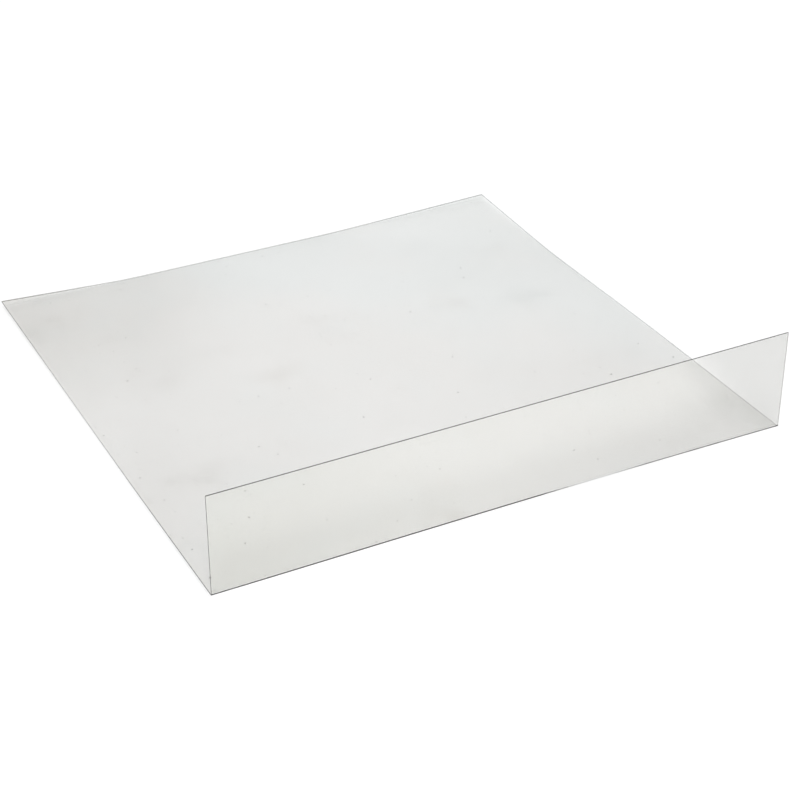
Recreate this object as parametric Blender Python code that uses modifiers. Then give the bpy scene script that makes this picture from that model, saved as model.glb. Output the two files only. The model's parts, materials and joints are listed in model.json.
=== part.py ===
"""Sneeze guard made from one clear plastic sheet with a single line bend.

The sheet is folded once, at a right angle, across its full width. The large panel lies flat and the
short lip stands up along its front edge. There is no frame, fastener or moving part.

Frame: metres, +Z up. The origin is the centre of the footprint, on the surface that the panel rests on.
The bend runs along X, the lip is on the -Y side, and the panel runs back from it towards +Y.
"""

from math import radians

import bmesh
import bpy
from mathutils import Matrix, Vector

# Driving dimensions, in metres
SHEET_WIDTH = 0.580  # along the bend
PANEL_DEPTH = 0.570  # from the lip's outer face to the panel's back edge
LIP_HEIGHT = 0.100  # from the panel's underside to the lip's top edge
SHEET_THICKNESS = 0.0015  # thickness of the stock
BEND_INSIDE_RADIUS = 0.0010  # radius of the bend's inner, concave side
EDGE_BREAK = 0.0002  # scraped corner along every cut edge

# Facets
BEND_SEGMENTS = 10  # flat steps round the quarter turn of the bend
SHARP_ANGLE = radians(60)  # between the bend's small steps and the sheet's square corners

# Derived
BEND_OUTSIDE_RADIUS = BEND_INSIDE_RADIUS + SHEET_THICKNESS

# Look of the stock: clear, colourless plastic with a faint green-grey cast
CLEAR_PLASTIC = {
    "Base Color": (0.93, 0.95, 0.93, 1.0),
    "Metallic": 0.0,
    "Roughness": 0.08,
    "IOR": 1.57,
    "Transmission Weight": 0.9,
    "Alpha": 0.4,
}


def clear_scene():
    """Remove every object, so that the script starts from an empty scene."""
    for obj in list(bpy.data.objects):
        bpy.data.objects.remove(obj, do_unlink=True)


def make_collection(name):
    """Return a new collection linked to the scene."""
    collection = bpy.data.collections.new(name)
    bpy.context.scene.collection.children.link(collection)
    return collection


def make_material(name, values):
    """Return a Principled BSDF material with the given socket values."""
    material = bpy.data.materials.new(name)
    material.use_nodes = True
    shader = material.node_tree.nodes["Principled BSDF"]
    for socket, value in values.items():
        shader.inputs[socket].default_value = value
    return material


def fold_up_lip(mesh):
    """Extrude the panel's front edge straight up into the lip, with every face looking outwards."""
    folded = bmesh.new()
    folded.from_mesh(mesh)
    front = min(folded.edges, key=lambda edge: sum(vert.co.y for vert in edge.verts))
    grown = bmesh.ops.extrude_edge_only(folded, edges=[front])["geom"]
    lip_top = [item for item in grown if isinstance(item, bmesh.types.BMVert)]
    bmesh.ops.translate(folded, verts=lip_top, vec=(0.0, 0.0, LIP_HEIGHT))
    folded.normal_update()
    outwards = Vector((0.0, -1.0, -1.0))
    for face in folded.faces:
        if face.normal.dot(outwards) < 0.0:
            face.normal_flip()
    folded.to_mesh(mesh)
    folded.free()


def add_bend(sheet):
    """Round the fold to the bend's outer radius."""
    bend = sheet.modifiers.new("bend", "BEVEL")
    bend.offset_type = "OFFSET"
    bend.width = BEND_OUTSIDE_RADIUS
    bend.segments = BEND_SEGMENTS
    bend.limit_method = "ANGLE"
    bend.angle_limit = SHARP_ANGLE


def add_thickness(sheet):
    """Give the outer surface its stock thickness, measured inwards."""
    stock = sheet.modifiers.new("stock", "SOLIDIFY")
    stock.thickness = SHEET_THICKNESS
    stock.offset = -1.0
    stock.use_even_offset = True


def add_edge_break(sheet):
    """Take the sharp corner off every cut edge."""
    scrape = sheet.modifiers.new("edge_break", "BEVEL")
    scrape.offset_type = "OFFSET"
    scrape.width = EDGE_BREAK
    scrape.segments = 1
    scrape.limit_method = "ANGLE"
    scrape.angle_limit = SHARP_ANGLE


def make_guard_sheet(collection):
    """Panel, bend and lip in one piece: the outer surface is folded, rounded, then thickened."""
    bpy.ops.mesh.primitive_plane_add(size=1.0)
    sheet = bpy.context.object
    sheet.name = "guard_sheet"
    sheet.data.name = "guard_sheet"
    sheet.data.transform(Matrix.Diagonal((SHEET_WIDTH, PANEL_DEPTH, 1.0, 1.0)))
    fold_up_lip(sheet.data)
    add_bend(sheet)
    add_thickness(sheet)
    add_edge_break(sheet)
    sheet.data.materials.append(make_material("clear_sheet", CLEAR_PLASTIC))
    for owner in list(sheet.users_collection):
        owner.objects.unlink(sheet)
    collection.objects.link(sheet)
    return sheet


def main():
    """Build the sneeze guard."""
    clear_scene()
    guard = make_collection("sneeze_guard")
    make_guard_sheet(guard)


main()
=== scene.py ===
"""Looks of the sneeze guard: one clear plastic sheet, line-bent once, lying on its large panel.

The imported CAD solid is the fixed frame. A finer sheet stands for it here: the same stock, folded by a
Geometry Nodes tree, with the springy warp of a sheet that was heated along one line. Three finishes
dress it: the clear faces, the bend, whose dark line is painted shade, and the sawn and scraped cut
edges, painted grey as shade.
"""

import json
import logging
from dataclasses import dataclass, field
from enum import Enum
from math import cos, pi, radians, sin
from typing import Any, Mapping, Optional, Sequence, Union

import bpy
from mathutils import Euler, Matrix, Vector


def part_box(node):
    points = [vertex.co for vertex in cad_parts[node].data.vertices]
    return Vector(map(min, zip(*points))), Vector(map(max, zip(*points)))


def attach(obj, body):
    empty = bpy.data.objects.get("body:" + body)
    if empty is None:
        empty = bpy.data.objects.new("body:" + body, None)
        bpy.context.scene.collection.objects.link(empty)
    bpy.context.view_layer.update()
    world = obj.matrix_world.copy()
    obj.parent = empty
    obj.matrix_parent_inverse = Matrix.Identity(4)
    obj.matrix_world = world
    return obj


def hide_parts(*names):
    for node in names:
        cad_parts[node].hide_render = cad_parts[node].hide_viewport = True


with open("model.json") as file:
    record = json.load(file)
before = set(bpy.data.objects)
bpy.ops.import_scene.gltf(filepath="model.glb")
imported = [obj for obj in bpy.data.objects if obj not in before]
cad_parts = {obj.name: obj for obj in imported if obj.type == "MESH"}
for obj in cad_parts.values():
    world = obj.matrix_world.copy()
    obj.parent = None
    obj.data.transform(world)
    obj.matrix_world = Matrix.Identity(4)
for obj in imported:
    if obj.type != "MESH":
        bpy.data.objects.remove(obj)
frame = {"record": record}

LOG = logging.getLogger("sneeze_guard")
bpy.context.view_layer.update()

Socket = bpy.types.NodeSocket
Tree = bpy.types.NodeTree
Material = bpy.types.Material
Feed = Union[Socket, float, int, str, Sequence[float], bpy.types.ID]
Feeds = Mapping[Union[str, int], Feed]
Span = tuple[float, float]  # where a range starts and where it ends
Colour = tuple[float, float, float, float]
Waves = tuple[float, float, float]  # waves per metre across the sheet, along it and through it

PLASTIC_IOR = 1.57
USUAL_NOISE: Span = (0.3, 0.7)  # range that most of a noise falls in
MIDDLE_NOISE: Span = (0.35, 0.65)  # a narrower one, for stronger contrast
EVEN = (1.0, 1.0, 1.0)
TRANSPARENT_LAYERS = 24  # clear faces that one ray may pass
UNROLLED = "unrolled"  # attribute: place on the sheet as it was before it was bent
LATTICE = "lattice"  # attribute: place in the unit lattice that the sheet is folded from
LATTICE_EDGE = 0.4999  # a face whose middle lies past this, either way, is on the lattice's edge


# --- Node helpers ---------------------------------------------------------------------------------


class Bench:
    """Places nodes in one tree and wires whatever it is handed into them."""

    def __init__(self, tree: Tree) -> None:
        """Keep the tree that the nodes go into.

        Args:
            tree: A shader or geometry node tree.
        """
        self.tree = tree

    def node(self, kind: str, feeds: Optional[Feeds] = None, **settings: Any) -> bpy.types.Node:
        """Add one node.

        Args:
            kind: The node's type name.
            feeds: What goes into its inputs, by socket name or index.
            settings: Properties to set before the inputs are fed.

        Returns:
            The new node.
        """
        made = self.tree.nodes.new(kind)
        made.location = (60.0 * len(self.tree.nodes), 0.0)
        for name, value in settings.items():
            setattr(made, name, value)
        for socket, value in (feeds or {}).items():
            self.feed(made.inputs[socket], value)
        return made

    def feed(self, socket: Socket, value: Feed) -> None:
        """Link a socket to an output, or set its value.

        Args:
            socket: The input to fill.
            value: An output socket, or a plain value.
        """
        if isinstance(value, Socket):
            self.tree.links.new(value, socket)
        else:
            socket.default_value = value

    def math(self, operation: str, *values: Feed, clamp: bool = False) -> Socket:
        """Add a Math node and return its output.

        Args:
            operation: The Math node's operation.
            values: Its inputs in order.
            clamp: Whether the result is held between 0 and 1.

        Returns:
            The node's value socket.
        """
        feeds = dict(enumerate(values))
        return self.node("ShaderNodeMath", feeds, operation=operation, use_clamp=clamp).outputs[0]

    def times(self, first: Feed, second: Feed, clamp: bool = False) -> Socket:
        """Return the product of two numbers."""
        return self.math("MULTIPLY", first, second, clamp=clamp)

    def plus(self, first: Feed, second: Feed, clamp: bool = False) -> Socket:
        """Return the sum of two numbers."""
        return self.math("ADD", first, second, clamp=clamp)

    def minus(self, first: Feed, second: Feed) -> Socket:
        """Return the first number less the second."""
        return self.math("SUBTRACT", first, second)

    def most(self, first: Feed, second: Feed, clamp: bool = False) -> Socket:
        """Return the larger of two numbers."""
        return self.math("MAXIMUM", first, second, clamp=clamp)

    def gap(self, value: Feed, middle: Feed) -> Socket:
        """Return how far a number lies from another, either way."""
        return self.math("ABSOLUTE", self.minus(value, middle))

    def ramp(
        self,
        value: Feed,
        low: Feed,
        high: Feed,
        to_low: Feed = 0.0,
        to_high: Feed = 1.0,
        smooth: bool = False,
    ) -> Socket:
        """Map a value from one range to another, held within it.

        Args:
            value: What is mapped.
            low: Start of the range that it comes from.
            high: End of the range that it comes from.
            to_low: Result at the start.
            to_high: Result at the end.
            smooth: Whether the ends are eased.

        Returns:
            The mapped value's socket.
        """
        feeds = {"Value": value, "From Min": low, "From Max": high, "To Min": to_low, "To Max": to_high}
        style = "SMOOTHSTEP" if smooth else "LINEAR"
        return self.node("ShaderNodeMapRange", feeds, interpolation_type=style, clamp=True).outputs[0]

    def split(self, vector: Feed) -> tuple[Socket, Socket, Socket]:
        """Return the x, y and z sockets of a vector."""
        parts = self.node("ShaderNodeSeparateXYZ", {0: vector}).outputs
        return parts[0], parts[1], parts[2]

    def join(self, x: Feed, y: Feed, z: Feed) -> Socket:
        """Return a vector socket made of x, y and z."""
        return self.node("ShaderNodeCombineXYZ", {0: x, 1: y, 2: z}).outputs[0]

    def blend(self, factor: Feed, first: Feed, second: Feed) -> Socket:
        """Mix two numbers.

        Args:
            factor: 0 gives the first and 1 gives the second.
            first: The first number.
            second: The second number.

        Returns:
            The mixed value's socket.
        """
        return self.node("ShaderNodeMix", {0: factor, 2: first, 3: second}, data_type="FLOAT").outputs[0]

    def tint(self, factor: Feed, first: Feed, second: Feed) -> Socket:
        """Mix two colours.

        Args:
            factor: 0 gives the first and 1 gives the second.
            first: The first colour.
            second: The second colour.

        Returns:
            The mixed colour's socket.
        """
        return self.node("ShaderNodeMix", {0: factor, 6: first, 7: second}, data_type="RGBA").outputs[2]

    def noise(self, place: Feed, scale: float, detail: float = 2.0, roughness: float = 0.5) -> Socket:
        """Return smooth noise between about 0 and 1.

        Args:
            place: Where it is read, in metres.
            scale: Waves per metre.
            detail: Finer waves laid on top.
            roughness: Weight of the finer waves.

        Returns:
            The noise value's socket.
        """
        feeds = {"Vector": place, "Scale": scale, "Detail": detail, "Roughness": roughness}
        return self.node("ShaderNodeTexNoise", feeds).outputs[0]

    def noise_at(
        self, place: Feed, shift: Sequence[float], scale: float, detail: float = 2.0, roughness: float = 0.5
    ) -> Socket:
        """Return noise read from a shifted place, so that no two layers share a pattern.

        Args:
            place: Where it is read, in metres.
            shift: How far the pattern is shifted.
            scale: Waves per metre.
            detail: Finer waves laid on top.
            roughness: Weight of the finer waves.

        Returns:
            The noise value's socket.
        """
        return self.noise(self.stretch(place, EVEN, shift), scale, detail, roughness)

    def stretch(
        self, place: Feed, scale: Sequence[float], shift: Sequence[float] = (0.0, 0.0, 0.0)
    ) -> Socket:
        """Scale a place along its axes and shift it.

        Args:
            place: The vector to change.
            scale: Factor along each axis.
            shift: What is added afterwards.

        Returns:
            The changed vector's socket.
        """
        feeds = {"Vector": place, "Location": shift, "Scale": scale}
        return self.node("ShaderNodeMapping", feeds, vector_type="POINT").outputs[0]


class Port(Enum):
    """Kinds of socket on a group's edge."""

    NUMBER = "NodeSocketFloat"
    VECTOR = "NodeSocketVector"
    SHAPE = "NodeSocketGeometry"


def new_group(
    name: str, kind: str, inputs: Mapping[str, tuple[Port, Any]], outputs: Mapping[str, Port]
) -> Tree:
    """Make an empty node group with named sockets.

    Args:
        name: The group's name.
        kind: ShaderNodeTree or GeometryNodeTree.
        inputs: Kind and default of each input.
        outputs: Kind of each output.

    Returns:
        The group.
    """
    group = bpy.data.node_groups.new(name, kind)
    for label, (port, default) in inputs.items():
        socket = group.interface.new_socket(label, in_out="INPUT", socket_type=port.value)
        if default is not None:
            socket.default_value = default
    for label, port in outputs.items():
        group.interface.new_socket(label, in_out="OUTPUT", socket_type=port.value)
    return group


# --- Shader groups shared by the finishes ----------------------------------------------------------


@dataclass(frozen=True)
class DotLayer:
    """One layer of scattered dots."""

    cell: float  # size of a cell in metres; it holds one dot at most
    radius: float  # radius of the largest dot in metres
    share: float  # share of the cells that have a dot
    shift: float  # shift of the pattern, in seeds


@dataclass(frozen=True)
class UseMarks:
    """Marks of handling and cleaning, from grit and dust to finger smudges, old drips and wipe streaks.

    Every layer is a generic pattern on the unrolled sheet. Sizes are in metres, scales are in waves per
    metre, and a reach is the range of its noise over which a mark comes in.
    """

    specks: DotLayer = DotLayer(cell=0.021, radius=0.0015, share=0.8, shift=1.0)
    blots: DotLayer = DotLayer(cell=0.10, radius=0.0021, share=0.6, shift=2.3)
    grit: DotLayer = DotLayer(cell=0.010, radius=0.0010, share=0.6, shift=3.1)
    grit_strength: float = 0.55
    crowd_scale: float = 11.0
    crowd_reach: Span = (0.38, 0.62)
    crowding: Span = (0.2, 1.6)  # how far a layer's share falls and rises from place to place
    small_dot: float = 0.4  # the smallest dot's radius, of the largest one's
    rare_large: float = 2.0  # power that makes large dots rare
    faint_dot: float = 0.32
    rare_dark: float = 1.6  # power that makes dark dots rare
    soft_from: float = 0.4  # a dot fades outwards from this share of its radius
    ragged_scale: float = 700.0
    ragged: Span = (0.6, 1.4)
    curl_scale: float = 95.0
    curl_level: float = 0.56
    curl_line: float = 0.035
    curl_patch_scale: float = 26.0
    curl_reach: Span = (0.60, 0.72)
    curl_strength: float = 0.7
    smudge_size: float = 0.055
    smudge_reach: Span = (0.52, 0.84)
    smudge_side: Span = (0.45, 0.95)  # smudges gather over this range of half the width
    smudge_middle: float = 0.25  # what is left of them in the middle
    grain_scale: float = 300.0
    grain: Span = (0.6, 1.3)
    streak_waves: Waves = (4.0, 130.0, 1.0)
    streak_reach: Span = (0.5, 0.8)
    wiped_waves: Waves = (3.0, 5.0, 1.0)
    wiped_reach: Span = (0.4, 0.7)
    wiped_least: float = 0.2  # what is left of the streaks where the cloth hardly touched
    streak_strength: float = 0.22
    hairline_waves: Waves = (3.0, 75.0, 1.0)
    hairline_width: float = 0.006
    broken_waves: Waves = (14.0, 40.0, 1.0)
    broken_reach: Span = (0.56, 0.66)
    hairline_strength: float = 0.25
    stain_size: float = 0.16
    stain_reach: Span = (0.62, 0.8)
    swell_waves: Waves = (0.6, 1.0, 1.0)
    swell_scale: float = 9.0
    pit_scale: float = 420.0
    pit_height: float = 0.003
    scratch_depth: float = 0.01
    dirt_height: float = 0.02
    seed: float = 4.0

    def scatter(self, bench: Bench, place: Feed, dots: DotLayer) -> Socket:
        """Scatter soft-edged dots, one at most in each cell.

        Args:
            bench: The tree's bench.
            place: Place on the sheet.
            dots: The layer's sizes.

        Returns:
            A mask that is 1 in a dot.
        """
        seed = self.seed * dots.shift
        spot = bench.stretch(place, (1.0 / dots.cell,) * 3, (seed, seed * 1.7, 0.0))
        ragged = bench.noise(place, self.ragged_scale)
        crowd = bench.noise_at(place, (seed, 0.0, 3.0), self.crowd_scale)
        cells = bench.node(
            "ShaderNodeTexVoronoi",
            {"Vector": spot, "Scale": 1.0, "Randomness": 1.0},
            voronoi_dimensions="2D",
        )
        chance = bench.split(cells.outputs["Color"])
        fewest, most = self.crowding
        share = bench.ramp(crowd, *self.crowd_reach, fewest * dots.share, most * dots.share)
        there = bench.math("LESS_THAN", chance[0], share)
        largest = dots.radius / dots.cell
        rarer = bench.math("POWER", chance[1], self.rare_large)
        size = bench.ramp(rarer, 0.0, 1.0, largest * self.small_dot, largest)
        reach = bench.times(size, bench.ramp(ragged, *USUAL_NOISE, *self.ragged))
        dot = bench.ramp(cells.outputs["Distance"], bench.times(reach, self.soft_from), reach, 1.0, 0.0, True)
        darker = bench.math("POWER", chance[2], self.rare_dark)
        strength = bench.ramp(darker, 0.0, 1.0, self.faint_dot, 1.0)
        return bench.times(bench.times(dot, there), strength)

    def dirt(self, bench: Bench, place: Feed) -> Socket:
        """Lay the three layers of dots over each other.

        Args:
            bench: The tree's bench.
            place: Place on the sheet.

        Returns:
            A mask that is 1 in the darkest dots.
        """
        layers = (self.specks, self.blots, self.grit)
        small, large, fine = (self.scatter(bench, place, dots) for dots in layers)
        return bench.most(bench.most(small, large), bench.times(fine, self.grit_strength))

    def curls(self, bench: Bench, place: Feed) -> Socket:
        """Draw small dried rings and curls, in a few patches.

        Args:
            bench: The tree's bench.
            place: Place on the sheet.

        Returns:
            A mask that is 1 on a curl's line.
        """
        swirl = bench.noise_at(place, (self.seed, 7.0, 1.0), self.curl_scale, 1.0)
        line = bench.ramp(bench.gap(swirl, self.curl_level), 0.0, self.curl_line, 1.0, 0.0)
        patch = bench.noise_at(place, (2.0, self.seed, 5.0), self.curl_patch_scale, 1.0)
        return bench.times(line, bench.ramp(patch, *self.curl_reach))

    def smudges(self, bench: Bench, place: Feed, half_width: Feed) -> Socket:
        """Press grainy finger smudges on the sheet, most of them near its sides.

        Args:
            bench: The tree's bench.
            place: Place on the sheet.
            half_width: Half the sheet's width.

        Returns:
            A mask that is 1 in the middle of a smudge.
        """
        outwards = bench.math("DIVIDE", bench.math("ABSOLUTE", bench.split(place)[0]), half_width)
        side = bench.ramp(outwards, *self.smudge_side, self.smudge_middle, 1.0, True)
        cloud = bench.noise_at(place, (self.seed, 2.0, 0.0), 1.0 / self.smudge_size, 1.5, 0.5)
        smudge = bench.times(bench.ramp(cloud, *self.smudge_reach, smooth=True), side)
        grain = bench.ramp(bench.noise(place, self.grain_scale), *MIDDLE_NOISE, *self.grain)
        return bench.times(smudge, grain)

    def streaks(self, bench: Bench, place: Feed) -> Socket:
        """Draw the broad streaks that a cloth leaves across the sheet.

        Args:
            bench: The tree's bench.
            place: Place on the sheet.

        Returns:
            A mask that is 1 in the middle of a streak.
        """
        wipe = bench.noise(bench.stretch(place, self.streak_waves, (1.0, self.seed, 0.0)), 1.0, 3.0, 0.6)
        wiped = bench.noise(bench.stretch(place, self.wiped_waves, (9.0, 2.0, 0.0)), 1.0, 1.0)
        wiped = bench.ramp(wiped, *self.wiped_reach, self.wiped_least, 1.0)
        return bench.times(bench.ramp(wipe, *self.streak_reach), wiped)

    def hairlines(self, bench: Bench, place: Feed) -> Socket:
        """Draw fine broken scratches across the sheet.

        Args:
            bench: The tree's bench.
            place: Place on the sheet.

        Returns:
            A mask that is 1 on a scratch.
        """
        hair = bench.noise(bench.stretch(place, self.hairline_waves, (3.0, 11.0, 0.0)), 1.0, 0.0)
        line = bench.ramp(bench.gap(hair, 0.5), 0.0, self.hairline_width, 1.0, 0.0)
        broken = bench.noise(bench.stretch(place, self.broken_waves), 1.0, 1.0)
        return bench.times(line, bench.ramp(broken, *self.broken_reach))

    def build(self) -> Tree:
        """Make the group once.

        Returns:
            A shader group that takes Place, Half Width, Specks, Smudges and Streaks, and gives Dirt,
            Haze, Stain and Height.
        """
        group = new_group(
            "use_marks",
            "ShaderNodeTree",
            {
                "Place": (Port.VECTOR, None),
                "Half Width": (Port.NUMBER, 0.29),
                "Specks": (Port.NUMBER, 1.0),
                "Smudges": (Port.NUMBER, 1.0),
                "Streaks": (Port.NUMBER, 1.0),
            },
            {"Dirt": Port.NUMBER, "Haze": Port.NUMBER, "Stain": Port.NUMBER, "Height": Port.NUMBER},
        )
        bench = Bench(group)
        given = bench.node("NodeGroupInput").outputs
        place = given["Place"]
        dirt = bench.times(self.dirt(bench, place), given["Specks"])
        smudge = bench.times(self.smudges(bench, place, given["Half Width"]), given["Smudges"])
        streak = self.streaks(bench, place)
        hairline = self.hairlines(bench, place)
        wipes = bench.plus(
            bench.times(streak, self.streak_strength), bench.times(hairline, self.hairline_strength)
        )
        wipes = bench.times(wipes, given["Streaks"])
        curls = bench.times(self.curls(bench, place), self.curl_strength)
        haze = bench.plus(bench.plus(smudge, wipes), curls)

        drip = bench.noise_at(place, (0.0, 5.0, self.seed), 1.0 / self.stain_size, 3.0, 0.55)
        stain = bench.ramp(drip, *self.stain_reach, smooth=True)

        swell = bench.noise(bench.stretch(place, self.swell_waves), self.swell_scale, 1.0)
        pits = bench.noise(place, self.pit_scale)
        height = bench.plus(swell, bench.times(pits, self.pit_height))
        height = bench.minus(height, bench.times(hairline, self.scratch_depth))
        height = bench.plus(height, bench.times(dirt, self.dirt_height))
        bench.node("NodeGroupOutput", {"Dirt": dirt, "Haze": haze, "Stain": stain, "Height": height})
        return group


# --- Finishes -------------------------------------------------------------------------------------


def new_material(name: str) -> tuple[Material, Bench]:
    """Make a material with an empty tree.

    Args:
        name: The material's name.

    Returns:
        The material and a bench for its tree.
    """
    material = bpy.data.materials.new(name)
    material.use_nodes = True
    material.node_tree.nodes.clear()
    return material, Bench(material.node_tree)


def unrolled_place(bench: Bench) -> Socket:
    """Return the place on the sheet as it was before it was bent, in metres."""
    return bench.node("ShaderNodeAttribute", attribute_name=UNROLLED).outputs["Vector"]


def lay_marks(bench: Bench, marks: Tree, place: Feed, half_width: float) -> Any:
    """Lay the marks of use on a finish.

    Args:
        bench: The material's bench.
        marks: The group of use marks.
        place: Place on the sheet.
        half_width: Half the sheet's width.

    Returns:
        The group's output sockets.
    """
    used = bench.node("ShaderNodeGroup", node_tree=marks)
    bench.feed(used.inputs["Place"], place)
    bench.feed(used.inputs["Half Width"], half_width)
    return used.outputs


def lighting_ray(bench: Bench) -> Socket:
    """Return 1 for a ray that only carries light on to the floor and other faces, and 0 for the rest."""
    ray = bench.node("ShaderNodeLightPath").outputs
    return bench.most(ray["Is Shadow Ray"], ray["Is Diffuse Ray"])


def pane_shine(bench: Bench, ior: float) -> Socket:
    """Share of light that both faces of a thin clear sheet reflect together.

    Args:
        bench: The material's bench.
        ior: The plastic's refractive index.

    Returns:
        The share's socket.
    """
    single = bench.node("ShaderNodeFresnel", {"IOR": ior}).outputs[0]
    return bench.math("DIVIDE", bench.times(single, 2.0), bench.plus(single, 1.0))


def on_front_only(bench: Bench, surface: Socket) -> None:
    """Finish a material whose far side adds nothing, so that each crossing of the sheet counts once.

    Args:
        bench: The material's bench.
        surface: The shader of the near side.
    """
    behind = bench.node("ShaderNodeNewGeometry").outputs["Backfacing"]
    open_air = bench.node("ShaderNodeBsdfTransparent").outputs[0]
    both = bench.node("ShaderNodeMixShader", {0: behind, 1: surface, 2: open_air}).outputs[0]
    bench.node("ShaderNodeOutputMaterial", {"Surface": both})


@dataclass(frozen=True)
class ClearFaces:
    """The sheet's two large faces: glossy and clear, a little grey from its own body and from use, with
    painted shade on the lip's right end and low right stretch, the back left corner and the back edge.

    A share is the part of the light that is taken on one crossing. Places along the unrolled sheet are
    counted back from the panel's start, so they are negative on the lip.
    """

    marks: Tree
    half_width: float
    back: float  # place of the panel's back edge
    body: float = 0.158
    lip_body: float = 0.165
    lip_fade: float = 0.006  # metres up from the panel over which the lip's finish comes in
    drift_scale: float = 5.0
    uneven: float = 0.012  # how far the body's share drifts either way
    haze_share: float = 0.052
    stain_share: float = 0.05
    dirt_share: float = 0.66
    # painted shade: the lip's right end and top right corner get a greyer film, which lighting rays pass
    right_span: Span = (0.5, 0.8)  # where the lip's right end begins and is full, of half the width
    right_shade_share: float = 0.11
    corner_slope: float = 3.3  # how the painted shade of the lip's top right corner slants, per metre up
    corner_span: Span = (0.80, 1.06)
    corner_shade_share: float = 0.20
    back_left_shade_span: Span = (0.05, 0.30)  # metres from the back left corner over which its painted shade fades
    back_left_shade_share: float = 0.055
    left_share: float = 0.02
    back_shade_left: float = 0.12  # metres of the back edge that the painted shade runs along, from the left corner
    back_shade_right: float = 0.16
    back_shade_right_width: float = 0.85  # of the strip's width at the left corner
    back_shade_width: Span = (0.001, 0.016)
    back_shade_share: float = 0.11
    roughness: float = 0.05
    hazed_roughness: float = 0.16
    cool_span: Span = (0.32, 0.52)  # metres back and to the right over which the cast turns cool
    cool_across: float = 0.9  # what a metre to the right counts, beside a metre back
    mottle_scale: float = 13.0
    mottle: float = 0.3
    low_height: float = 0.07  # metres up the lip over which its low right stretch of painted shade fades
    low_span: Span = (-0.2, 0.5)  # where it begins and is full, of half the width
    warm: Colour = (0.168, 0.148, 0.088, 1.0)
    cool: Colour = (0.100, 0.165, 0.130, 1.0)
    lip_left: Colour = (0.47, 0.49, 0.38, 1.0)
    lip_middle: Colour = (0.68, 0.68, 0.60, 1.0)
    lip_low_right_shade: Colour = (0.42, 0.42, 0.38, 1.0)
    lip_right_shade: Colour = (0.50, 0.50, 0.465, 1.0)
    lip_corner_shade: Colour = (0.35, 0.35, 0.325, 1.0)
    stained: Colour = (0.21, 0.17, 0.10, 1.0)
    dirty: Colour = (0.09, 0.085, 0.08, 1.0)

    def back_edge_shade(self, bench: Bench, x: Feed, along: Feed) -> Socket:
        """Paint shade along the back edge, widest at its two lifted corners.

        Args:
            bench: The material's bench.
            x: Place across the sheet.
            along: Place along the unrolled sheet.

        Returns:
            The extra share of light that is taken.
        """
        left = bench.ramp(x, -self.half_width, self.back_shade_left - self.half_width, 1.0, 0.0)
        right = bench.ramp(x, self.half_width - self.back_shade_right, self.half_width, 0.0, self.back_shade_right_width)
        wide = bench.ramp(bench.most(left, right), 0.0, 1.0, *self.back_shade_width)
        inwards = bench.minus(self.back, along)
        strip = bench.ramp(inwards, bench.times(wide, 0.5), wide, 1.0, 0.0, True)
        return bench.times(strip, self.back_shade_share)

    def back_left_shade(self, bench: Bench, place: Feed, x: Feed) -> Socket:
        """Paint shade on the back left corner and grey the whole left half a little, darker towards the left.

        Args:
            bench: The material's bench.
            place: Place on the sheet.
            x: Place across it.

        Returns:
            The extra share of light that is taken.
        """
        corner = (-self.half_width, self.back, 0.0)
        away = bench.node("ShaderNodeVectorMath", {0: place, 1: corner}, operation="DISTANCE")
        shaded_corner = bench.ramp(away.outputs["Value"], *self.back_left_shade_span, self.back_left_shade_share, 0.0, True)
        return bench.plus(shaded_corner, bench.ramp(x, -self.half_width, 0.0, self.left_share, 0.0))

    def panel_cast(self, bench: Bench, place: Feed, x: Feed, along: Feed) -> Socket:
        """Turn the panel's cast from warm at the front left to cool at the back right.

        Args:
            bench: The material's bench.
            place: Place on the sheet.
            x: Place across it.
            along: Place along it.

        Returns:
            The colour's socket.
        """
        back_and_right = bench.plus(bench.times(x, self.cool_across), along)
        cool = bench.ramp(back_and_right, *self.cool_span, smooth=True)
        mottle = bench.noise(place, self.mottle_scale)
        mottle = bench.ramp(mottle, *MIDDLE_NOISE, -self.mottle, self.mottle)
        return bench.tint(bench.plus(cool, mottle, clamp=True), self.warm, self.cool)

    def lip_cast(self, bench: Bench, x: Feed, along: Feed, right: Feed, corner: Feed) -> Socket:
        """Colour the lip from its left end to its right end.

        Args:
            bench: The material's bench.
            x: Place across the sheet.
            along: Place along it.
            right: Mask of the right end.
            corner: Mask of the top right corner.

        Returns:
            The colour's socket.
        """
        cast = bench.tint(bench.ramp(x, -self.half_width, 0.0), self.lip_left, self.lip_middle)
        # painted shade: the lip's low right stretch is darker
        low = bench.ramp(along, -self.low_height, 0.0)
        low_from, low_to = (share * self.half_width for share in self.low_span)
        cast = bench.tint(bench.times(low, bench.ramp(x, low_from, low_to)), cast, self.lip_low_right_shade)
        # painted shade: the lip's right end and top right corner are darker
        cast = bench.tint(right, cast, self.lip_right_shade)
        return bench.tint(corner, cast, self.lip_corner_shade)

    def build(self) -> Material:
        """Make the material.

        Returns:
            A thin clear film with reflections on top.
        """
        material, bench = new_material("clear_faces")
        place = unrolled_place(bench)
        x, along, _ = bench.split(place)
        used = lay_marks(bench, self.marks, place, self.half_width)

        on_lip = bench.ramp(along, -self.lip_fade, 0.0, 1.0, 0.0)
        right_from, right_to = (share * self.half_width for share in self.right_span)
        right = bench.ramp(x, right_from, right_to, smooth=True)
        outwards = bench.math("DIVIDE", x, self.half_width)
        up_and_out = bench.minus(outwards, bench.times(along, self.corner_slope))
        corner = bench.ramp(up_and_out, *self.corner_span, smooth=True)
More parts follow.
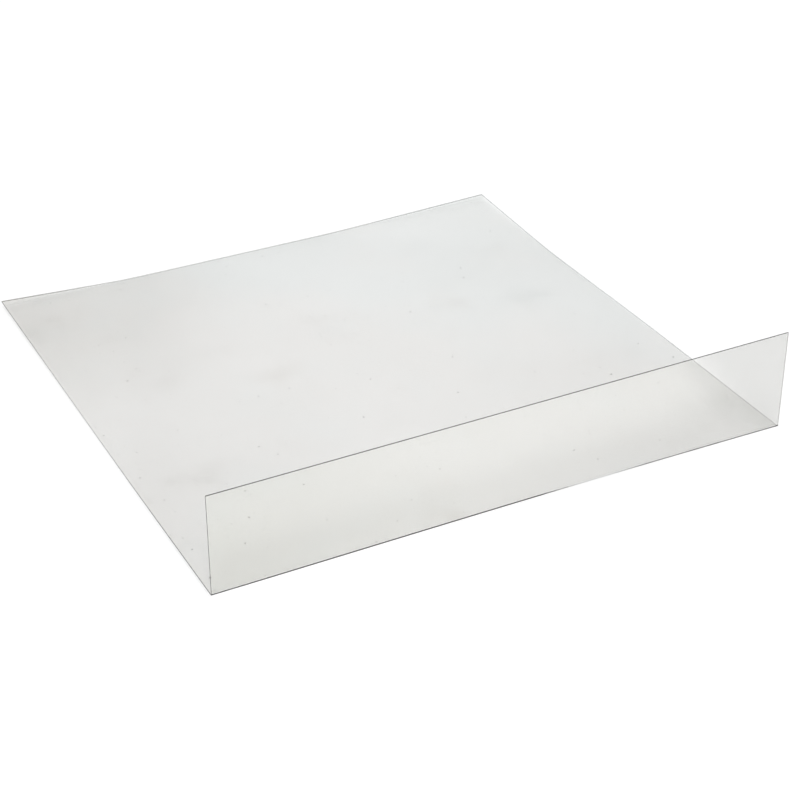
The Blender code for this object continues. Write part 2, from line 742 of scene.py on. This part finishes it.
        # painted shade on the lip's right end and top right corner, left out for lighting rays
        lip_shade = bench.plus(bench.times(right, self.right_shade_share), bench.times(corner, self.corner_shade_share))
        lip_shade = bench.times(bench.times(lip_shade, on_lip), bench.minus(1.0, lighting_ray(bench)))
        drift = bench.noise(place, self.drift_scale, 1.0)
        drift = bench.ramp(drift, *USUAL_NOISE, -self.uneven, self.uneven)
        body = bench.plus(bench.blend(on_lip, self.body, self.lip_body), bench.plus(lip_shade, drift))
        body = bench.plus(body, bench.times(used["Haze"], self.haze_share))
        body = bench.plus(body, bench.times(used["Stain"], self.stain_share))
        # painted shade at the back left corner and along the back edge, with the left half a little greyer
        corner_and_back_shade = bench.plus(self.back_left_shade(bench, place, x), self.back_edge_shade(bench, x, along))
        body = bench.plus(body, corner_and_back_shade)
        cover = bench.most(body, bench.times(used["Dirt"], self.dirt_share), clamp=True)

        panel_cast = self.panel_cast(bench, place, x, along)
        cast = bench.tint(on_lip, panel_cast, self.lip_cast(bench, x, along, right, corner))
        cast = bench.tint(used["Stain"], cast, self.stained)
        cast = bench.tint(used["Dirt"], cast, self.dirty)
        bump = bench.node("ShaderNodeBump", {"Strength": 0.35, "Distance": 0.001, "Height": used["Height"]})
        film = bench.node(
            "ShaderNodeBsdfPrincipled",
            {"Base Color": cast, "Alpha": cover, "Roughness": 0.6, "Specular IOR Level": 0.0},
        )
        gloss_grain = bench.ramp(used["Haze"], 0.0, 1.0, self.roughness, self.hazed_roughness)
        shine = bench.node(
            "ShaderNodeBsdfGlossy",
            {"Color": (1.0, 1.0, 1.0, 1.0), "Roughness": gloss_grain, "Normal": bump.outputs[0]},
        )
        share = pane_shine(bench, PLASTIC_IOR)
        surface = bench.node("ShaderNodeMixShader", {0: share, 1: film.outputs[0], 2: shine.outputs[0]})
        on_front_only(bench, surface.outputs[0])
        return material


@dataclass(frozen=True)
class BendShadeLine:
    """The bend, where the fold's dark line is painted shade: a darker film for the shade along the fold."""

    marks: Tree
    half_width: float
    darkest: float = -0.0019  # middle of the dark line on the unrolled sheet
    line: Span = (0.0007, 0.0010)  # how far from its middle the line begins to fade and ends
    strength: float = 1.1
    beside_line: float = 0.08  # what is left of the line's strength beside it
    pale_middle: float = 0.642  # middle of the paler stretch, as a share of the fold
    pale_span: Span = (0.015, 0.115)  # how far from there it begins to darken and ends
    pale_strength: float = 0.3
    left_strength: float = 0.85
    left_end: float = 0.13
    right_span: Span = (0.5, 0.7)
    right_strength: Span = (0.66, 0.80)
    line_wobble_waves: Waves = (26.0, 60.0, 1.0)
    line_wobble: Span = (0.88, 1.1)
    drawn_waves: Waves = (90.0, 900.0, 1.0)
    drawn: Span = (0.9, 1.1)
    dirt_share: float = 0.6
    # painted shade: the colour of the fold's dark line
    colour: Colour = (0.03, 0.031, 0.03, 1.0)
    glow: float = 0.85  # share of the light that the fold still hands on to the floor beside it
    gloss: float = 0.15  # share of its gloss that the softened plastic keeps

    def strength_along(self, bench: Bench, along: Feed) -> tuple[Socket, Socket]:
        """Work out how strong the dark line is from one end of the fold to the other.

        Args:
            bench: The material's bench.
            along: Place along the fold, 0 at the left and 1 at the right.

        Returns:
            The strength, and the factor of the paler stretch.
        """
        pale = bench.ramp(bench.gap(along, self.pale_middle), *self.pale_span, 1.0, 0.0, True)
        left = bench.ramp(along, 0.0, self.left_end, self.left_strength, 1.0, True)
        to_right = bench.ramp(along, *self.right_span, smooth=True)
        right = bench.blend(to_right, 1.0, bench.ramp(along, self.right_span[1], 1.0, *self.right_strength))
        return bench.times(left, right), bench.ramp(pale, 0.0, 1.0, 1.0, self.pale_strength)

    def build(self) -> Material:
        """Make the material.

        Returns:
            A darker thin film, painted shade of the fold's line, whose strength varies along the fold.
        """
        material, bench = new_material("stretched_bend")
        place = unrolled_place(bench)
        x, round_bend, _ = bench.split(place)
        strength, paler = self.strength_along(bench, bench.ramp(x, -self.half_width, self.half_width))
        line_wobble = bench.noise(bench.stretch(place, self.line_wobble_waves), 1.0, 3.0, 0.6)
        line_wobble = bench.ramp(line_wobble, *USUAL_NOISE, *self.line_wobble)
        drawn = bench.noise(bench.stretch(place, self.drawn_waves), 1.0)
        drawn = bench.ramp(drawn, *MIDDLE_NOISE, *self.drawn)
        core = bench.ramp(bench.gap(round_bend, self.darkest), *self.line, 1.0, self.beside_line, True)
        cover = bench.times(strength, bench.times(core, self.strength))
        cover = bench.times(cover, bench.times(line_wobble, drawn))
        cover = bench.times(cover, paler, clamp=True)
        used = lay_marks(bench, self.marks, place, self.half_width)
        cover = bench.most(cover, bench.times(used["Dirt"], self.dirt_share))
        cover = bench.times(cover, bench.minus(1.0, bench.times(lighting_ray(bench), self.glow)))
        bump = bench.node("ShaderNodeBump", {"Strength": 0.4, "Distance": 0.0003, "Height": drawn})
        film = bench.node(
            "ShaderNodeBsdfPrincipled",
            {"Base Color": self.colour, "Alpha": cover, "Roughness": 0.5, "Specular IOR Level": 0.0},
        )
        shine = bench.node("ShaderNodeBsdfGlossy", {"Roughness": 0.12, "Normal": bump.outputs[0]})
        dulled = bench.times(pane_shine(bench, PLASTIC_IOR), self.gloss)
        surface = bench.node("ShaderNodeMixShader", {0: dulled, 1: film.outputs[0], 2: shine.outputs[0]})
        on_front_only(bench, surface.outputs[0])
        return material


@dataclass(frozen=True)
class CutEdges:
    """Sawn edges with scraped corners: fine saw lines across the stock, painted shade grey where light
    leaves.
    """

    half_width: float
    lip_top: float  # place of the lip's top edge on the unrolled sheet
    back: float  # place of the panel's back edge on it
    saw_waves: Waves = (2600.0, 2600.0, 160.0)
    saw_tone: Span = (0.9, 1.1)
    feed_waves: Waves = (240.0, 240.0, 10.0)
    feed_tone: Span = (0.92, 1.08)
    wear_scale: float = 22.0
    wear_tone: Span = (0.9, 1.1)
    scrape: Span = (0.0003, 0.0006)  # metres below the lip's top over which its top colour, also painted shade, ends
    side_middle: float = 0.31  # where the panel's side edges are palest
    side_span: Span = (0.02, 0.24)
    # painted shade: the grey of each edge, for the light that leaves through it
    pale_side: Colour = (0.30, 0.30, 0.295, 1.0)
    dark_side: Colour = (0.055, 0.055, 0.054, 1.0)
    lip_side: Colour = (0.05, 0.05, 0.049, 1.0)
    top: Colour = (0.070, 0.071, 0.069, 1.0)
    cover: Span = (0.88, 0.98)
    # painted shade: how solid the edges read through the sheet, the back edge more at its two ends
    inner_cover: float = 0.46  # seen from inside the sheet
    inner_back: float = 0.24  # the same at the back edge
    inner_back_left: float = 0.45  # what is added at its left end
    inner_back_right: float = 0.30  # and at its right end

    def colour(self, bench: Bench, along: Feed, tone: Feed) -> Socket:
        """Grey each edge with painted shade, paler in the middle of the panel's sides.

        Args:
            bench: The material's bench.
            along: Place along the unrolled sheet.
            tone: Factor of the saw lines and the wear.

        Returns:
            The colour's socket.
        """
        top_from, top_to = (self.lip_top + below for below in self.scrape)
        at_top = bench.ramp(along, top_from, top_to, 1.0, 0.0)
        from_middle = bench.ramp(bench.gap(along, self.side_middle), *self.side_span, smooth=True)
        side = bench.tint(from_middle, self.pale_side, self.dark_side)
        side = bench.tint(bench.ramp(along, -0.01, 0.0, 1.0, 0.0), side, self.lip_side)
        feeds = {0: bench.tint(at_top, side, self.top), 1: bench.join(tone, tone, tone)}
        return bench.node("ShaderNodeVectorMath", feeds, operation="MULTIPLY").outputs[0]

    def seen_from_inside(self, bench: Bench, x: Feed, along: Feed) -> Socket:
        """Return how solid an edge reads through the sheet, as painted shade, most at the back edge's ends.

        Args:
            bench: The material's bench.
            x: Place across the sheet.
            along: Place along it.

        Returns:
            The cover's socket.
        """
        t = bench.ramp(x, -self.half_width, self.half_width)
        left = bench.ramp(t, 0.0, 0.3, self.inner_back_left, 0.0, True)
        right = bench.ramp(t, 0.45, 0.9, 0.0, self.inner_back_right, True)
        at_back = bench.ramp(along, self.back - 0.002, self.back - 0.001)
        return bench.blend(at_back, self.inner_cover, bench.plus(bench.plus(left, right), self.inner_back))

    def build(self) -> Material:
        """Make the material.

        Returns:
            A nearly solid grey of painted shade with saw lines, fainter where it is seen from inside the
            sheet.
        """
        material, bench = new_material("cut_edge")
        place = unrolled_place(bench)
        x, along, _ = bench.split(place)
        saw = bench.noise(bench.stretch(place, self.saw_waves), 1.0, 2.0, 0.6)
        feed_marks = bench.noise(bench.stretch(place, self.feed_waves), 1.0, 2.0, 0.6)
        wear = bench.noise(place, self.wear_scale, 3.0, 0.6)
        sawn = bench.ramp(saw, *USUAL_NOISE, *self.saw_tone)
        tone = bench.times(sawn, bench.ramp(feed_marks, *USUAL_NOISE, *self.feed_tone))
        tone = bench.times(tone, bench.ramp(wear, *USUAL_NOISE, *self.wear_tone))
        behind = bench.node("ShaderNodeNewGeometry").outputs["Backfacing"]
        outer = bench.ramp(wear, *USUAL_NOISE, *self.cover)
        cover = bench.blend(behind, outer, self.seen_from_inside(bench, x, along))
        relief = {"Strength": 0.6, "Distance": 0.0002, "Height": bench.plus(saw, feed_marks)}
        bump = bench.node("ShaderNodeBump", relief)
        edge = bench.node(
            "ShaderNodeBsdfPrincipled",
            {
                "Base Color": self.colour(bench, along, tone),
                "Alpha": cover,
                "Roughness": 0.38,
                "Specular IOR Level": 0.3,
                "Normal": bump.outputs[0],
            },
        )
        bench.node("ShaderNodeOutputMaterial", {"Surface": edge.outputs[0]})
        return material


# --- The sheet ------------------------------------------------------------------------------------


@dataclass(frozen=True)
class Lattice:
    """How many cells the sheet is folded from."""

    across: int = 72
    lip: int = 16
    bend: int = 10
    panel: int = 80
    crowding: float = 1.5  # how much closer the rows stand near the bend


@dataclass(frozen=True)
class Warp:
    """How far the heated sheet springs from flat, in metres and in shares of its sides."""

    left_lift: float = 0.0072
    left_across: float = 0.23
    left_along: float = 0.67
    right_lift: float = 0.0060
    right_across: float = 0.32
    right_along: float = 0.25
    ease: float = 0.12
    ridge_left: float = 0.0002
    ridge_right: float = 0.0015
    ridge_depth: float = 0.75
    arch: float = 0.0016
    arch_skew: float = 1.3
    arch_depth: float = 0.35
    rake: float = 0.0022  # the lip's top edge is cut this much higher at the right


@dataclass
class GuardSheet:
    """Panel, bend and lip, folded from one sheet of stock."""

    width: float
    depth: float
    height: float
    thickness: float
    inside_radius: float = 0.0010
    edge_break: float = 0.0002
    scrape_from: float = 60.0  # degrees between two faces from which their corner is scraped
    crease_from: float = 20.0  # and from which it is shaded as a crease
    lattice: Lattice = field(default_factory=Lattice)
    warp: Warp = field(default_factory=Warp)

    @property
    def outside_radius(self) -> float:
        """Radius of the bend's outer side."""
        return self.inside_radius + self.thickness

    @property
    def bend_length(self) -> float:
        """Length of the bend along the middle of the stock."""
        return pi / 2 * (self.inside_radius + self.thickness / 2)

    @property
    def lip_top(self) -> float:
        """Place of the lip's top edge on the unrolled sheet, counted back from the panel's start."""
        return -(self.bend_length + self.height - self.outside_radius)

    @property
    def back(self) -> float:
        """Place of the panel's back edge on the unrolled sheet."""
        return self.depth - self.outside_radius

    def inputs(self) -> dict[str, float]:
        """List the fold tree's named inputs.

        Returns:
            The value of each input, by its name.
        """
        return {
            "Width": self.width,
            "Depth": self.depth,
            "Height": self.height,
            "Thickness": self.thickness,
            "Outside Radius": self.outside_radius,
            "Left Lift": self.warp.left_lift,
            "Right Lift": self.warp.right_lift,
            "Ridge Left": self.warp.ridge_left,
            "Ridge Right": self.warp.ridge_right,
            "Arch": self.warp.arch,
            "Rake": self.warp.rake,
        }

    def corner_lift(self, bench: Bench, across: Feed, back: Feed, lift: Feed, reach: Span) -> Socket:
        """Lift one back corner along a soft crease.

        Args:
            bench: The tree's bench.
            across: Distance from the corner along the back edge, as a share of the width.
            back: Distance from the back edge, as a share of the depth.
            lift: Height of the corner.
            reach: How far the lift runs along the back edge and along the side.

        Returns:
            The lift's socket.
        """
        away = bench.plus(bench.math("DIVIDE", across, reach[0]), bench.math("DIVIDE", back, reach[1]))
        rise = bench.minus(1.0, away)
        eased = bench.math("SQRT", bench.plus(bench.times(rise, rise), self.warp.ease**2))
        share = bench.times(bench.plus(rise, eased), 0.5)
        rest = bench.most(bench.minus(share, self.warp.ease**2 / 4), 0.0)
        return bench.times(rest, lift)

    def warp_height(self, bench: Bench, given: Any, t: Feed, panel: Feed, height: Feed) -> Socket:
        """Work out how far the warp raises a point.

        Args:
            bench: The tree's bench.
            given: The group's input sockets.
            t: Place along the bend, 0 at the left and 1 at the right.
            panel: Place along the panel, 0 at the bend and 1 at the back edge.
            height: Place up the lip, 0 at the bend and 1 at the top.

        Returns:
            The height to add.
        """
        back = bench.minus(1.0, panel)
        other = bench.minus(1.0, t)
        left_reach = (self.warp.left_across, self.warp.left_along)
        right_reach = (self.warp.right_across, self.warp.right_along)
        left = self.corner_lift(bench, t, back, given["Left Lift"], left_reach)
        right = self.corner_lift(bench, other, back, given["Right Lift"], right_reach)
        crest = bench.blend(t, given["Ridge Left"], given["Ridge Right"])
        swell = bench.math("SINE", bench.ramp(panel, 0.0, self.warp.ridge_depth, 0.0, pi))
        ridge = bench.times(bench.times(swell, swell), crest)
        bow = bench.math("SINE", bench.times(bench.math("POWER", t, self.warp.arch_skew), pi))
        fade = bench.ramp(panel, 0.0, self.warp.arch_depth, 1.0, 0.0, True)
        fade = bench.times(fade, bench.minus(1.0, height))
        arch = bench.times(bench.times(bow, fade), given["Arch"])
        rake = bench.times(bench.times(t, height), given["Rake"])
        corners = bench.plus(left, right)
        return bench.plus(bench.plus(corners, ridge), bench.plus(arch, rake))

    def fold_tree(self, faces: Material, bend: Material, edges: Material) -> Tree:
        """Build the Geometry Nodes tree that folds a unit lattice into the sheet.

        Args:
            faces: Finish of the large faces.
            bend: Finish of the bend.
            edges: Finish of the cut edges.

        Returns:
            The tree, with a named input for each size.
        """
        ports = {"Geometry": (Port.SHAPE, None)}
        ports.update({name: (Port.NUMBER, value) for name, value in self.inputs().items()})
        tree = new_group("fold_sheet", "GeometryNodeTree", ports, {"Geometry": Port.SHAPE})
        bench = Bench(tree)
        given = bench.node("NodeGroupInput").outputs
        cells = self.lattice
        rows = cells.lip + cells.bend + cells.panel
        corners = {"Vertices X": cells.across + 1, "Vertices Y": rows + 1, "Vertices Z": 2}
        block = bench.node("GeometryNodeMeshCube", {"Size": EVEN, **corners}).outputs[0]
        spot = bench.node("GeometryNodeInputPosition").outputs[0]
        marked = bench.node(
            "GeometryNodeStoreNamedAttribute",
            {"Geometry": block, "Name": LATTICE, "Value": spot},
            data_type="FLOAT_VECTOR",
            domain="POINT",
        ).outputs[0]
        x, y, z = bench.split(bench.node("GeometryNodeInputPosition").outputs[0])
        station = bench.times(bench.plus(y, 0.5), float(rows))
        bend_from, bend_to = float(cells.lip), float(cells.lip + cells.bend)
        up = bench.math("POWER", bench.ramp(station, 0.0, bend_from, 1.0, 0.0), cells.crowding)
        turned = bench.ramp(station, bend_from, bend_to)
        out = bench.math("POWER", bench.ramp(station, bend_to, float(rows)), cells.crowding)

        angle = bench.times(bench.minus(turned, 1.0), pi / 2)
        depth_in = bench.times(bench.plus(z, 0.5), given["Thickness"])
        radius = bench.minus(given["Outside Radius"], depth_in)
        lip_run = bench.times(bench.minus(given["Height"], given["Outside Radius"]), up)
        panel_run = bench.times(bench.minus(given["Depth"], given["Outside Radius"]), out)
        centre_y = bench.minus(given["Outside Radius"], bench.times(given["Depth"], 0.5))
        round_y = bench.times(radius, bench.math("SINE", angle))
        round_z = bench.times(radius, bench.math("COSINE", angle))
        t = bench.plus(x, 0.5)
        warp = self.warp_height(bench, given, t, out, up)
        to_x = bench.times(x, given["Width"])
        to_y = bench.plus(bench.plus(centre_y, round_y), panel_run)
        to_z = bench.plus(bench.minus(given["Outside Radius"], round_z), lip_run)
        to_z = bench.plus(to_z, warp)

        arc_back = bench.times(bench.minus(turned, 1.0), self.bend_length)
        unrolled_y = bench.plus(bench.minus(panel_run, lip_run), arc_back)
        noted = bench.node(
            "GeometryNodeStoreNamedAttribute",
            {"Geometry": marked, "Name": UNROLLED, "Value": bench.join(to_x, unrolled_y, depth_in)},
            data_type="FLOAT_VECTOR",
            domain="POINT",
        ).outputs[0]
        folded = bench.node(
            "GeometryNodeSetPosition", {"Geometry": noted, "Position": bench.join(to_x, to_y, to_z)}
        ).outputs[0]

        home = bench.node("GeometryNodeInputNamedAttribute", {"Name": LATTICE}, data_type="FLOAT_VECTOR")
        hx, hy, _ = bench.split(home.outputs[0])
        row = bench.times(bench.plus(hy, 0.5), float(rows))
        middle = cells.lip + cells.bend / 2
        in_bend = bench.math("LESS_THAN", bench.gap(row, middle), cells.bend / 2)
        at_side = bench.math("GREATER_THAN", bench.math("ABSOLUTE", hx), LATTICE_EDGE)
        at_end = bench.math("GREATER_THAN", bench.math("ABSOLUTE", hy), LATTICE_EDGE)
        cut = bench.most(at_side, at_end)
        made = bench.node("GeometryNodeRealizeInstances", {"Geometry": folded}).outputs[0]
        made = bench.node("GeometryNodeSetMaterial", {"Geometry": made, "Material": faces}).outputs[0]
        for where, finish in ((in_bend, bend), (cut, edges)):
            feeds = {"Geometry": made, "Selection": where, "Material": finish}
            made = bench.node("GeometryNodeSetMaterial", feeds).outputs[0]
        bench.node("NodeGroupOutput", {"Geometry": made})
        return tree

    def build(self, faces: Material, bend: Material, edges: Material) -> bpy.types.Object:
        """Fold the sheet, scrape its cut edges and turn it into a plain mesh.

        Args:
            faces: Finish of the large faces.
            bend: Finish of the bend.
            edges: Finish of the cut edges.

        Returns:
            The finished piece.
        """
        blank = bpy.data.objects.new("sheet_blank", bpy.data.meshes.new("sheet_blank"))
        bpy.context.scene.collection.objects.link(blank)
        fold = blank.modifiers.new("fold", "NODES")
        fold.node_group = self.fold_tree(faces, bend, edges)
        values = self.inputs()
        for item in fold.node_group.interface.items_tree:
            if item.item_type == "SOCKET" and item.in_out == "INPUT" and item.name in values:
                fold[item.identifier] = values[item.name]
        scrape = blank.modifiers.new("scraped_corners", "BEVEL")
        scrape.width = self.edge_break
        scrape.segments = 2
        scrape.limit_method = "ANGLE"
        scrape.angle_limit = radians(self.scrape_from)
        seen = blank.evaluated_get(bpy.context.evaluated_depsgraph_get())
        mesh = bpy.data.meshes.new_from_object(seen)
        bpy.data.objects.remove(blank, do_unlink=True)
        mesh.name = "guard_sheet_clear"
        mesh.materials.pop(index=0)  # the lattice's own slot, which is empty
        mesh.shade_smooth()
        mesh.set_sharp_from_angle(angle=radians(self.crease_from))
        if LATTICE in mesh.attributes:
            mesh.attributes.remove(mesh.attributes[LATTICE])
        piece = bpy.data.objects.new("guard_sheet_clear", mesh)
        bpy.context.scene.collection.objects.link(piece)
        return piece

    def fit(self, piece: bpy.types.Object) -> None:
        """Put the piece on the frame in place of the CAD sheet."""
        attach(piece, "root")
        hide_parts("guard_sheet")


# --- Studio ---------------------------------------------------------------------------------------


@dataclass(frozen=True)
class SoftPatch:
    """A soft card or flag in the surroundings, in degrees: azimuth from +Y towards +X."""

    azimuth: float
    elevation: float
    core: float  # full strength up to here from its middle
    reach: float  # nothing from here on
    strength: float  # what it adds to the surroundings; a flag takes away

    def direction(self) -> Vector:
        """Return the direction of the patch's middle."""
        a, e = radians(self.azimuth), radians(self.elevation)
        return Vector((sin(a) * cos(e), cos(a) * cos(e), sin(e)))


@dataclass
class Studio:
    """Pale floor, even surroundings with two soft patches, and one broad lamp."""

    floor_size: float = 60.0
    floor_drop: float = 0.0003
    surround: float = 0.85
    overhead: float = 0.65
    overhead_span: Span = (38.0, 60.0)  # degrees up over which the surroundings dim
    sun_strength: float = 1.60
    sun_azimuth: float = 200.0
    sun_elevation: float = 56.0
    sun_spread: float = 24.0
    patches: tuple[SoftPatch, ...] = (
        SoftPatch(8.0, 28.0, 7.0, 14.5, -0.10),
        SoftPatch(25.5, 31.5, 2.0, 9.0, 0.20),
    )

    def floor(self) -> bpy.types.Object:
        """Lay the floor.

        Returns:
            The floor.
        """
        half = self.floor_size / 2
        corners = [(-half, -half), (half, -half), (half, half), (-half, half)]
        mesh = bpy.data.meshes.new("studio_floor")
        mesh.from_pydata([(x, y, -self.floor_drop) for x, y in corners], [], [(0, 1, 2, 3)])
        floor = bpy.data.objects.new("studio_floor", mesh)
        bpy.context.scene.collection.objects.link(floor)
        material, bench = new_material("studio_floor")
        paint = bench.node(
            "ShaderNodeBsdfPrincipled",
            {"Base Color": (0.90, 0.90, 0.90, 1.0), "Roughness": 1.0, "Specular IOR Level": 0.0},
        )
        bench.node("ShaderNodeOutputMaterial", {"Surface": paint.outputs[0]})
        mesh.materials.append(material)
        return floor

    def surroundings(self) -> bpy.types.World:
        """Light the world around the sheet.

        Returns:
            The world.
        """
        world = bpy.data.worlds.new("studio")
        bpy.context.scene.world = world
        world.use_nodes = True
        world.node_tree.nodes.clear()
        bench = Bench(world.node_tree)
        way = bench.node("ShaderNodeTexCoord").outputs["Generated"]
        up = bench.math("ARCSINE", bench.split(way)[2])
        dims_from, dims_to = (radians(angle) for angle in self.overhead_span)
        light = bench.ramp(up, dims_from, dims_to, self.surround, self.overhead, True)
        for patch in self.patches:
            feeds = {0: way, 1: patch.direction()}
            facing = bench.node("ShaderNodeVectorMath", feeds, operation="DOT_PRODUCT")
            apart = bench.math("ARCCOSINE", facing.outputs["Value"])
            share = bench.ramp(apart, radians(patch.core), radians(patch.reach), patch.strength, 0.0, True)
            light = bench.plus(light, share)
        seen = bench.node("ShaderNodeLightPath").outputs["Is Camera Ray"]
        shown = bench.blend(seen, light, 1.0)
        glow = bench.node("ShaderNodeBackground", {"Color": (1.0, 1.0, 1.0, 1.0), "Strength": shown})
        bench.node("ShaderNodeOutputWorld", {"Surface": glow.outputs[0]})
        return world

    def lamp(self) -> bpy.types.Object:
        """Hang the broad lamp.

        Returns:
            The lamp.
        """
        data = bpy.data.lights.new("broad_lamp", "SUN")
        data.energy = self.sun_strength
        data.angle = radians(self.sun_spread)
        lamp = bpy.data.objects.new("broad_lamp", data)
        tilt, turn = radians(90.0 - self.sun_elevation), radians(180.0 - self.sun_azimuth)
        lamp.rotation_euler = Euler((tilt, 0.0, turn))
        bpy.context.scene.collection.objects.link(lamp)
        return lamp

    def build(self) -> None:
        """Set up the floor, the surroundings and the lamp."""
        self.floor()
        self.surroundings()
        self.lamp()
        bpy.context.scene.view_settings.view_transform = "Standard"
        bpy.context.scene.cycles.transparent_max_bounces = TRANSPARENT_LAYERS


@dataclass(frozen=True)
class Camera:
    """The camera: where it looks, from which side and how far away. Angles in degrees."""

    aim: tuple[float, float, float] = (-0.0048, -0.0647, 0.0)
    azimuth: float = -27.26
    elevation: float = 30.82
    distance: float = 1.8984
    roll: float = -0.134
    lens: float = 88.76
    sensor: float = 36.0

    def build(self) -> bpy.types.Object:
        """Make the camera the scene's own.

        Returns:
            The camera.
        """
        a, e = radians(self.azimuth), radians(self.elevation)
        back = Vector((sin(a) * cos(e), -cos(a) * cos(e), sin(e)))
        data = bpy.data.cameras.new("camera")
        data.lens = self.lens
        data.sensor_width = self.sensor
        data.clip_start = 0.01
        data.clip_end = 200.0
        camera = bpy.data.objects.new("camera", data)
        camera.location = Vector(self.aim) + back * self.distance
        roll = Euler((0.0, 0.0, radians(self.roll)))
        turn = back.to_track_quat("Z", "Y").to_matrix() @ roll.to_matrix()
        camera.rotation_euler = turn.to_euler()
        bpy.context.scene.collection.objects.link(camera)
        bpy.context.scene.camera = camera
        return camera


# --- Build ----------------------------------------------------------------------------------------


def stock_thickness(record: Mapping[str, Any]) -> float:
    """Read the stock's thickness from the record: how far the panel's top stands above its underside."""
    heights = {mount["name"]: mount["pos_m"][2] for mount in record["mounts"]}
    return heights["panel_top"] - heights["panel_underside"]


def main() -> None:
    """Set the stage, then fold and dress the sheet."""
    logging.basicConfig(level=logging.INFO, format="%(name)s: %(message)s")
    Camera().build()
    Studio().build()
    low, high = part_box("guard_sheet")
    size = high - low
    sheet = GuardSheet(size.x, size.y, size.z, stock_thickness(frame["record"]))
    marks = UseMarks().build()
    faces = ClearFaces(marks, size.x / 2, sheet.back).build()
    bend = BendShadeLine(marks, size.x / 2).build()
    edges = CutEdges(size.x / 2, sheet.lip_top, sheet.back).build()
    piece = sheet.build(faces, bend, edges)
    sheet.fit(piece)
    LOG.info("%s: %d faces, %d finishes", piece.name, len(piece.data.polygons), len(piece.data.materials))


if __name__ == "__main__":
    main()
